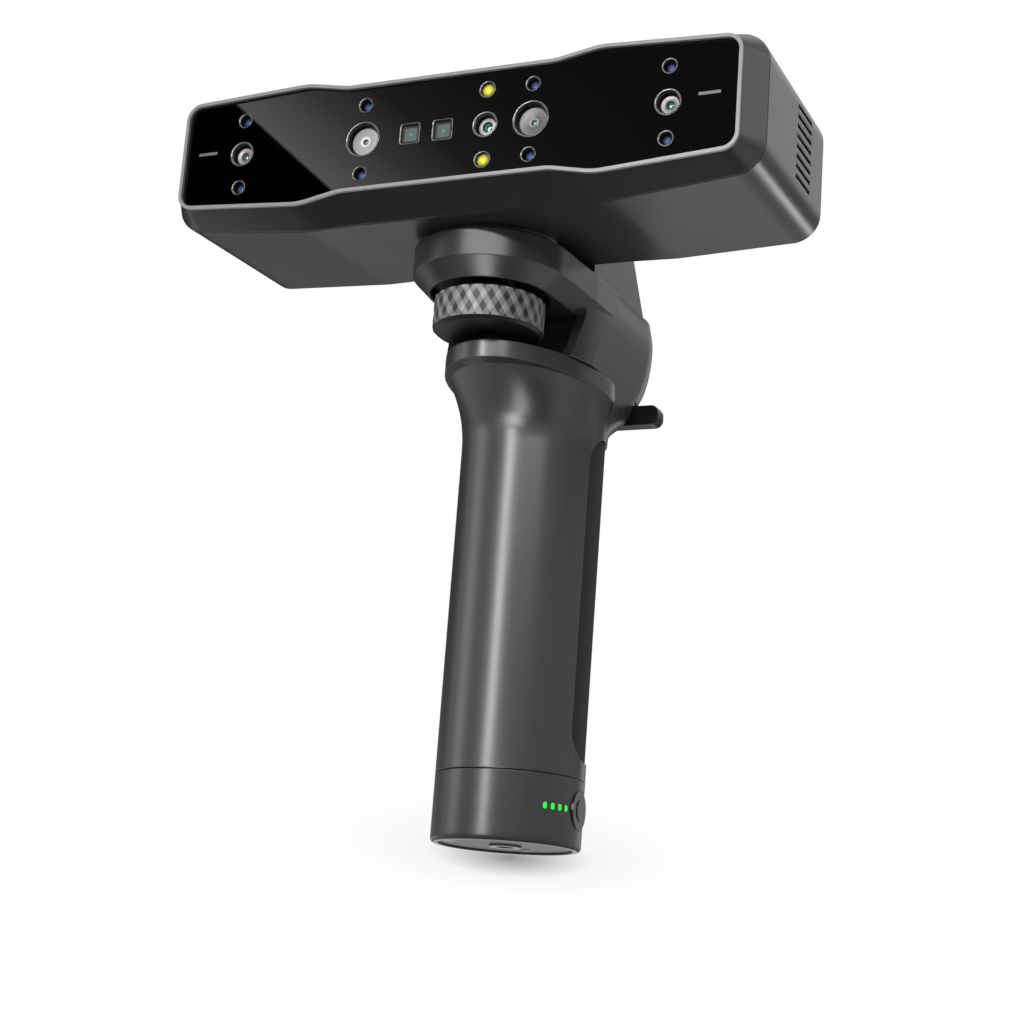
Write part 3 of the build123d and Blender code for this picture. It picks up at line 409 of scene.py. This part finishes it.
for part in frame["record"]["subparts"]:
    holder = cadNodes[part["node"]]
    for place in holder.material_slots:
        place.material = finishes[part["material_slot"]]
    if not holder.material_slots:
        holder.data.materials.append(finishes[part["material_slot"]])
print("finishes set:", len(finishes))


def wearFinish(piece, body, slot, *nodes):
    piece.data.materials.append(finishes[slot])
    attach(piece, body)
    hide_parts(*nodes)


# Clamp wheel with its crossed bands

wheelLook = dict(height=0.0108, starts=23, slope=1.6, bandShare=0.5, bandRamp=0.1, rising=0.6, depth=0.00022,
                 rim=0.0009, groove=0.0003, lead=0.0001, chamfer=0.0012, boreRadius=0.0034, hubRadius=0.008,
                 turns=640, levels=36, sharpAngle=30)


def bandLift(share):
    # 1 on a raised band and 0 between two bands, with a short ramp
    half, ramp = wheelLook["bandShare"] / 2, wheelLook["bandRamp"]
    return min(max((half + ramp / 2 - abs(share % 1 - 0.5)) / ramp, 0), 1)


def makeWheel():
    low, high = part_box("thumb_wheel")
    radius = (high[0] - low[0]) / 2
    centre = ((low[0] + high[0]) / 2, (low[1] + high[1]) / 2)
    base, top = low[2], low[2] + wheelLook["height"]
    turns, starts, levels = wheelLook["turns"], wheelLook["starts"], wheelLook["levels"]
    rim, groove, lead = wheelLook["rim"], wheelLook["groove"], wheelLook["lead"]
    points, landAndShadeValues, rings = [], [], []

    def addRing(reach, z, banded=False):
        rings.append(len(points))
        slide = (z - base) / wheelLook["slope"] / (2 * math.pi * radius) * starts
        for step in range(turns):
            share = starts * step / turns
            rising, falling = bandLift(share + slide), bandLift(share - slide)
            # the band's lift raises the bands and also sets their painted shade and light
            landAndShade = falling + wheelLook["rising"] * (rising - falling) if banded else 0
            out = reach - wheelLook["depth"] * (1 - landAndShade) if banded else reach
            angle = 2 * math.pi * step / turns
            points.append((centre[0] + out * math.cos(angle), centre[1] + out * math.sin(angle), z))
            landAndShadeValues.append(landAndShade)

    addRing(wheelLook["boreRadius"], base)
    addRing(radius - wheelLook["chamfer"], base)
    addRing(radius - groove - lead, base + rim - 2 * lead)
    addRing(radius - groove, base + rim)
    for level in range(levels + 1):
        addRing(radius, base + rim + (top - base - 2 * rim) * level / levels, True)
    addRing(radius - groove, top - rim)
    addRing(radius - wheelLook["chamfer"], top)
    addRing(wheelLook["hubRadius"], top)
    addRing(wheelLook["hubRadius"], high[2])
    addRing(wheelLook["boreRadius"], high[2])
    faces = []
    for one, two in zip(rings, rings[1:] + rings[:1]):
        for step in range(turns):
            ahead = (step + 1) % turns
            faces.append((one + step, one + ahead, two + ahead, two + step))
    wheel = meshPiece("bandedWheel", points, faces)
    setPointValues(wheel, "landAndShade", landAndShadeValues)
    turnOut(wheel)
    crispEdges(wheel, wheelLook["sharpAngle"])
    wearFinish(wheel, "wheel", "wheel_metal", "thumb_wheel")


makeWheel()
print("wheel made")


# Camera faces, light domes and laser windows in the glass

def frontCentre(node):
    low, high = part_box(node)
    return (low[0] + high[0]) / 2, low[1], (low[2] + high[2]) / 2


def quarterTurn(steps):
    # along a quarter circle, how far out and how far back
    turns = [math.pi / 2 * step / steps for step in range(steps + 1)]
    return [(math.sin(turn), 1 - math.cos(turn)) for turn in turns]


domeSteps, lipSteps = 7, 8


def domeProfile(radius, front, crown, back):
    bow = [(radius * out, front + crown * behind) for out, behind in quarterTurn(domeSteps)]
    return bow + [(radius, back), (0, back)]


def lipProfile(radius, wall, flat, length):
    # a sleeve whose mouth is rounded into its bore
    bore, turn = radius - wall, wall - flat
    lip = [(bore + turn * (1 - out), turn * behind) for out, behind in quarterTurn(lipSteps)]
    return [(radius, length), (radius, 0.5 * flat), (radius - 0.5 * flat, 0)] + lip + [(bore, length)]


cameraLooks = {
    "outer_left": dict(pupil=0.0011, dish=0.0002, lip=0.00035),
    "inner_left": dict(pupil=0.0007, dish=0.0001, lip=0.00025),
    "texture": dict(pupil=0.0016, dish=-0.0002, lip=0.0007, face="paleFace"),
    # this camera's darker cone is painted shade
    "inner_right": dict(pupil=0.0009, dish=0.0007, lip=0.0004, face="shadedDeepFace"),
    "outer_right": dict(pupil=0.0011, dish=0.0002, lip=0.00035),
}
# the lip stands round the pupil, and its foot runs out to a bevelled edge
faceLook = dict(mouth=0.0006, lipInner=0.00016, lipOuter=0.0001, foot=0.00018, footShare=1.2,
                rimFront=0.00012, bevel=0.00025, bevelFront=0.00016, bevelBack=0.0005,
                turns=72, sharpAngle=40)
pupilLook = dict(back=0.00035, crown=0.0004, turns=48)


def makeCameraFace(name, look):
    barrel, lens = "camera_barrel_" + name, "camera_lens_" + name
    low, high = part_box(barrel)
    radius, length = (high[0] - low[0]) / 2, high[1] - low[1]
    pupil, lip, bevel = look["pupil"], look["lip"], faceLook["bevel"]
    seat = max(look["dish"], 0)
    profile = [(pupil, seat + lip + faceLook["mouth"]), (pupil, seat + faceLook["lipInner"]),
               (pupil + 0.5 * lip, seat), (pupil + lip, seat + faceLook["lipOuter"]),
               (pupil + faceLook["footShare"] * lip, seat + faceLook["foot"]),
               (radius - 2 * bevel, faceLook["rimFront"]), (radius - bevel, faceLook["bevelFront"]),
               (radius, faceLook["bevelBack"]), (radius, length), (pupil, length)]
    face = turnedSet("cameraFace." + name, [(frontCentre(barrel), profile)], faceLook["turns"])
    crispEdges(face, faceLook["sharpAngle"])
    wearFinish(face, "head", "barrel_silver", barrel)
    if "face" in look:
        face.data.materials[0] = finishes[look["face"]]
    bow = domeProfile(pupil, seat + pupilLook["back"], pupilLook["crown"], length)
    dome = turnedSet("cameraPupil." + name, [(frontCentre(barrel), bow)], pupilLook["turns"])
    wearFinish(dome, "head", "lens_glass", lens)


cameraRingLook = dict(wall=0.0007, flat=0.00016, play=0.0011, turns=72)
# small lights stand above and below these cameras
lightRingLooks = {
    "blue_light_rings": dict(piece="blueRings", wall=0.0005, flat=0.0001, radius=0.0023, turns=56,
                             cameras=("outer_left", "inner_left", "inner_right", "outer_right")),
    "flash_rings": dict(piece="flashRings", wall=0.0005, flat=0.0001, radius=0.00255, turns=56,
                        cameras=("texture",)),
}


def lightCentres(node, radius, cameras):
    low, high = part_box(node)
    offset = (high[2] - low[2]) / 2 - radius
    for camera in cameras:
        x, front, z = frontCentre("camera_barrel_" + camera)
        for side in (-1, 1):
            yield x, low[1], z + side * offset


def makeRings():
    look = cameraRingLook
    low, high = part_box("camera_rings")
    turnings = []
    for name in cameraLooks:
        barrelLow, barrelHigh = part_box("camera_barrel_" + name)
        x, front, z = frontCentre("camera_barrel_" + name)
        radius = (barrelHigh[0] - barrelLow[0]) / 2 + look["play"]
        turnings.append(((x, low[1], z), lipProfile(radius, look["wall"], look["flat"], high[1] - low[1])))
    wearFinish(turnedSet("cameraRings", turnings, look["turns"]), "head", "ring_black", "camera_rings")
    for node, look in lightRingLooks.items():
        low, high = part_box(node)
        profile = lipProfile(look["radius"], look["wall"], look["flat"], high[1] - low[1])
        turnings = [(centre, profile) for centre in lightCentres(node, look["radius"], look["cameras"])]
        wearFinish(turnedSet(look["piece"], turnings, look["turns"]), "head", "ring_black", node)


domeLooks = {
    "blue_light_lenses": dict(piece="blueDomes", ring="blue_light_rings", slot="blue_lens", crown=0.0007,
                              play=0.00005, turns=40),
    "flash_lenses": dict(piece="flashDomes", ring="flash_rings", slot="flash_lens", crown=0.0008,
                         play=0.00005, turns=40),
}


def makeDomes():
    for node, look in domeLooks.items():
        ring = lightRingLooks[look["ring"]]
        low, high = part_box(node)
        radius = ring["radius"] - ring["wall"] - look["play"]
        profile = domeProfile(radius, 0, look["crown"], high[1] - low[1])
        turnings = [((x, low[1], z), profile)
                    for x, front, z in lightCentres(look["ring"], ring["radius"], ring["cameras"])]
        wearFinish(turnedSet(look["piece"], turnings, look["turns"]), "head", look["slot"], node)


windowLook = dict(border=0.00055, flat=0.00014, slope=0.0005, midBorder=0.75, midSlope=0.35, play=0.00005,
                  turns=96, sharpAngle=40, paneRings=(0.08, 0.12, 0.2, 0.5, 0.72, 0.8, 0.9, 1))


def makeWindows():
    low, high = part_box("window_frames")
    paneLow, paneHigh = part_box("laser_windows")
    half, z = (high[2] - low[2]) / 2, (high[2] + low[2]) / 2
    border, flat, slope = windowLook["border"], windowLook["flat"], windowLook["slope"]
    length, thick = high[1] - low[1], paneHigh[1] - paneLow[1]
    sill = [(half, length), (half, 0.5 * flat), (half - 0.5 * flat, 0), (half - flat, 0),
            (half - windowLook["midBorder"] * border, windowLook["midSlope"] * slope),
            (half - border, slope), (half - border, length)]
    inner = half - border - windowLook["play"]
    pane = [(0, 0)] + [(inner * share, 0) for share in windowLook["paneRings"]] + [(inner, thick), (0, thick)]
    places, turns = (low[0] + half, high[0] - half), windowLook["turns"]
    frames = turnedSet("windowFrames", [((x, low[1], z), sill) for x in places], turns, squareOutline)
    wearFinish(frames, "head", "ring_black", "window_frames")
    panes = turnedSet("laserPanes", [((x, paneLow[1], z), pane) for x in places], turns, squareOutline)
    crispEdges(panes, windowLook["sharpAngle"])
    wearFinish(panes, "head", "window_glass", "laser_windows")


for name, look in cameraLooks.items():
    makeCameraFace(name, look)
makeRings()
makeDomes()
makeWindows()
print("camera faces, rings, domes and windows made")


# Camera

cameraLook = dict(place=(0.260864, -0.564776, -0.055605), turn=(104.11571, -4.19564, 24.22984), lens=74.642,
                  sensor=36, near=0.01)


def makeCamera():
    lens = bpy.data.cameras.new("photoCamera")
    lens.lens = cameraLook["lens"]
    lens.sensor_width = cameraLook["sensor"]
    lens.clip_start = cameraLook["near"]
    camera = bpy.data.objects.new("photoCamera", lens)
    camera.location = cameraLook["place"]
    camera.rotation_euler = [math.radians(angle) for angle in cameraLook["turn"]]
    bpy.context.scene.collection.objects.link(camera)
    bpy.context.scene.camera = camera


# Floor, and boards that only reflections show

def stageFinish(name):
    finish = bpy.data.materials.new(name)
    finish.use_nodes = True
    finish.node_tree.nodes.clear()
    return finish, finish.node_tree, addNode(finish.node_tree, "ShaderNodeOutputMaterial")


def linkLight(holder, nodes, state):
    # a lamp or board lights only these nodes, or leaves out those on which it would glare
    linked = bpy.data.collections.new(holder.name + "Nodes")
    for node in nodes:
        linked.objects.link(cadNodes[node])
    for member in linked.collection_objects:
        member.light_linking.link_state = state
    holder.light_linking.receiver_collection = linked


def mirrorOnly(board):
    board.visible_camera = False
    board.visible_diffuse = False
    board.visible_shadow = False


def aroundPoint(radius, degrees, z):
    # degrees are counted from the front, to the right
    turn = math.radians(degrees)
    return radius * math.sin(turn), -radius * math.cos(turn), z


def gridFaces(columns, rows):
    # faces of a grid whose points are listed column by column
    return [(rows * step + row, rows * (step + 1) + row, rows * (step + 1) + row + 1, rows * step + row + 1)
            for step in range(columns - 1) for row in range(rows - 1)]


def glowBoard(name, points, faces, levels, lights=()):
    # a board whose light is given at each of its points
    board = meshPiece(name, points, faces, False)
    setPointValues(board, "light", levels)
    finish, tree, out = stageFinish(name + "Light")
    glow = addNode(tree, "ShaderNodeEmission", [("Strength", pointValue(tree, "light"))])
    tree.links.new(glow.outputs[0], out.inputs["Surface"])
    board.data.materials.append(finish)
    mirrorOnly(board)
    if lights:
        linkLight(board, lights, "INCLUDE")


# seen from below, the floor is clear, with a painted grey shadow near the part
floorLook = dict(colour=(0.86, 0.86, 0.86), reach=4.0, standRadius=0.0212, turns=96,
                 shadePlace=(-0.012, 0.03, 0), shadeTurn=24, shadeSize=(0.5, 1.6, 1),
                 shade=[(0.0, 0.3), (0.025, 0.6), (0.05, 0.92), (0.1, 0.985), (0.3, 1.0)])


def makeFloor():
    # a round floor, open under the part's own base
    turns = floorLook["turns"]
    points = [aroundPoint(radius, 360 * step / turns, 0)
              for radius in (floorLook["standRadius"], floorLook["reach"]) for step in range(turns)]
    faces = [(step, turns + step, turns + (step + 1) % turns, (step + 1) % turns) for step in range(turns)]
    floor = meshPiece("floor", points, faces, False)
    finish, tree, out = stageFinish("paleFloor")
    place = addNode(tree, "ShaderNodeMapping", [
        ("Vector", objectPlace(tree)), ("Location", floorLook["shadePlace"]),
        ("Rotation", (0, 0, math.radians(floorLook["shadeTurn"]))), ("Scale", floorLook["shadeSize"])],
        vector_type="TEXTURE")
    near = addNode(tree, "ShaderNodeVectorMath", [(0, place.outputs["Vector"])], operation="LENGTH")
    # painted shadow: the clear floor greys near the part and clears further out
    shade = colourRamp(tree, near.outputs["Value"], greyStops(floorLook["shade"]))
    paint = addNode(tree, "ShaderNodeBsdfDiffuse", [("Color", (*floorLook["colour"], 1))])
    clear = addNode(tree, "ShaderNodeBsdfTransparent", [("Color", shade)])
    side = addNode(tree, "ShaderNodeNewGeometry")
    pick = addNode(tree, "ShaderNodeMixShader", [("Fac", side.outputs["Backfacing"]), (1, paint.outputs[0]),
                                                 (2, clear.outputs[0])])
    tree.links.new(pick.outputs[0], out.inputs["Surface"])
    floor.data.materials.append(finish)


flagLook = dict(y=-0.8, left=-0.78, right=-0.06, low=0.482, high=0.85, edgeAcross=(0.659, 0, 0.7525),
                edgeRange=(0.0723, 0.2723), glow=1.8,
                light=[(0.045, 0), (0.055, 1.0), (0.15, 0.72), (0.27, 0.4), (0.43, 0.13), (0.65, 0.07),
                       (1.0, 0.05)])


def makeGlassFlag():
    # a black board that the glass mirrors, with a soft light that ends in a slanting edge
    left, right, low, high, y = [flagLook[key] for key in ("left", "right", "low", "high", "y")]
    flag = meshPiece("glassFlag", [(left, y, low), (right, y, low), (right, y, high), (left, y, high)],
                     [(0, 1, 2, 3)], False)
    finish, tree, out = stageFinish("gradedBoard")
    across = addNode(tree, "ShaderNodeVectorMath", [(0, objectPlace(tree)), (1, flagLook["edgeAcross"])],
                     operation="DOT_PRODUCT")
    share = mapRange(tree, across.outputs["Value"], 0.0, 1.0, *flagLook["edgeRange"])
    light = colourRamp(tree, share, greyStops(flagLook["light"]))
    glow = addNode(tree, "ShaderNodeEmission", [("Color", light), ("Strength", flagLook["glow"])])
    tree.links.new(glow.outputs[0], out.inputs["Surface"])
    flag.data.materials.append(finish)
    mirrorOnly(flag)


# boards on the floor in front, with one bright strip, which the neck and the plate's chamfer mirror: light by
# azimuth, and rows of (radius, turn to the right) for the near and the far half
floorFlagLook = dict(height=0.003, light=[(-80, 0.8), (-55, 0.5), (-26, 0.4), (-16, 5), (-5, 11), (5, 8),
                                          (12, 0.4), (20, 0.02), (46, 0.02), (58, 0.5), (75, 0.8)])
floorHalves = {
    "nearFloorFlag": dict(share=1.0, rows=[(0.045, 8), (0.14, 8), (0.19, 0)],
                          lights=("grip_shell", "top_bracket")),
    "farFloorFlag": dict(share=1.7, rows=[(0.19, 0), (0.22, -6), (0.7, -5)], lights=("grip_shell",)),
}


def makeFloorFlags():
    columns = floorFlagLook["light"]
    for name, look in floorHalves.items():
        points, levels = [], []
        for azimuth, level in columns:
            for radius, lean in look["rows"]:
                points.append(aroundPoint(radius, azimuth + lean, floorFlagLook["height"]))
                levels.append(level * look["share"])
        glowBoard(name, points, gridFaces(len(columns), len(look["rows"])), levels, look["lights"])


# upright curved boards round the part, with a light at each of their heights
curvedLooks = {
    "backFlag": dict(radius=0.5, azimuths=(-182, -95), columns=31,
                     heights=[(0.003, 0.4123), (0.14, 0.06), (0.75, 0.06)]),
    "endBoard": dict(radius=0.58, azimuths=(136, 162), columns=21,
                     heights=[(0.07, 0.3), (0.26, 0.25), (0.33, 0.5), (0.36, 1.0)]),
}
# flat boards with a light at each corner, and the nodes that mirror them
patchLooks = {
    "endStrip": dict(levels=[6, 13, 13, 6], lights=("rear_housing", "front_band"), points=[
        (0.2, 0.42, 0.004), (0.34, 0.42, 0.004), (0.58, 0.9, 0.004), (0.32, 0.9, 0.004)]),
    "underPatch": dict(levels=[0.5, 0.3, 0.3, 0.5], lights=("rear_housing", "front_band"), points=[
        (0.03, 0.2, 0.004), (0.16, 0.2, 0.004), (0.2, 0.38, 0.004), (0.03, 0.38, 0.004)]),
    "leftPatch": dict(levels=[0.5, 0.85, 0.85, 0.5], lights=("rear_housing",), points=[
        (-0.5, 0.2, 0.004), (-0.12, 0.2, 0.004), (-0.12, 0.55, 0.004), (-0.5, 0.55, 0.004)]),
    "bandBoard": dict(levels=[2.3, 2.3, 2.3, 2.3], lights=("front_band",), points=[
        (0.5, -0.15, 0.28), (0.5, 0.4, 0.28), (0.5, 0.4, 0.6), (0.5, -0.15, 0.6)]),
}


def makeBoards():
    for name, look in curvedLooks.items():
        first, last = look["azimuths"]
        columns, heights = look["columns"], look["heights"]
        turns = [first + (last - first) * step / (columns - 1) for step in range(columns)]
        points = [aroundPoint(look["radius"], turn, z) for turn in turns for z, level in heights]
        levels = [level for z, level in heights] * columns
        glowBoard(name, points, gridFaces(columns, len(heights)), levels)
    for name, look in patchLooks.items():
        glowBoard(name, look["points"], [(0, 1, 2, 3)], look["levels"], look["lights"])


# World and lamps

worldLook = dict(colour=(1, 1, 1), light=0.5, seen=1.0)


def makeWorld():
    # white where it is seen or mirrored, and half as strong as a light
    world = bpy.data.worlds.new("paleRoom")
    world.use_nodes = True
    bpy.context.scene.world = world
    tree = world.node_tree
    back = tree.nodes["Background"]
    setSockets(back, {"Color": (*worldLook["colour"], 1)})
    path = addNode(tree, "ShaderNodeLightPath").outputs
    seen = mathNode(tree, "MAXIMUM", path["Is Camera Ray"], path["Is Transmission Ray"])
    shown = mathNode(tree, "MAXIMUM", seen, path["Is Glossy Ray"])
    tree.links.new(mapRange(tree, shown, worldLook["light"], worldLook["seen"]), back.inputs["Strength"])


lampLooks = {
    "frontStrip": dict(place=(-0.3, -1.32, 0.34), aim=(0, 0, 0.16), size=(0.22, 0.6), power=10.5,
                       spares=("rear_housing", "top_bracket", "rear_post", "front_glass", "front_band")),
    "leftStrip": dict(place=(-1.4, -0.62, 0.32), aim=(0, 0, 0.12), size=(0.5, 0.7), power=3.2,
                      spares=("front_glass",)),
    "plateStrip": dict(place=(0.18, -1.0, 0.55), aim=(0, -0.04, 0.165), size=(1.2, 0.06), power=7.4,
                       spares=("rear_housing", "rear_post", "front_glass", "front_band", "rim_trim")),
    "topBox": dict(place=(0.1, -0.3, 1.5), aim=(0, 0, 0.1), size=(1.2, 1.2), power=14),
}


def makeLamps():
    for name, look in lampLooks.items():
        lamp = bpy.data.lights.new(name, "AREA")
        lamp.shape = "RECTANGLE"
        lamp.size, lamp.size_y = look["size"]
        lamp.energy = look["power"]
        holder = bpy.data.objects.new(name, lamp)
        holder.location = look["place"]
        aim = Vector(look["aim"]) - Vector(look["place"])
        holder.rotation_euler = aim.to_track_quat("-Z", "Y").to_euler()
        bpy.context.scene.collection.objects.link(holder)
        if "spares" in look:
            linkLight(holder, look["spares"], "EXCLUDE")


makeCamera()
makeFloor()
makeGlassFlag()
makeFloorFlags()
makeBoards()
makeWorld()
makeLamps()
bpy.context.scene.view_settings.view_transform = "Standard"
print("camera, floor and lamps set")
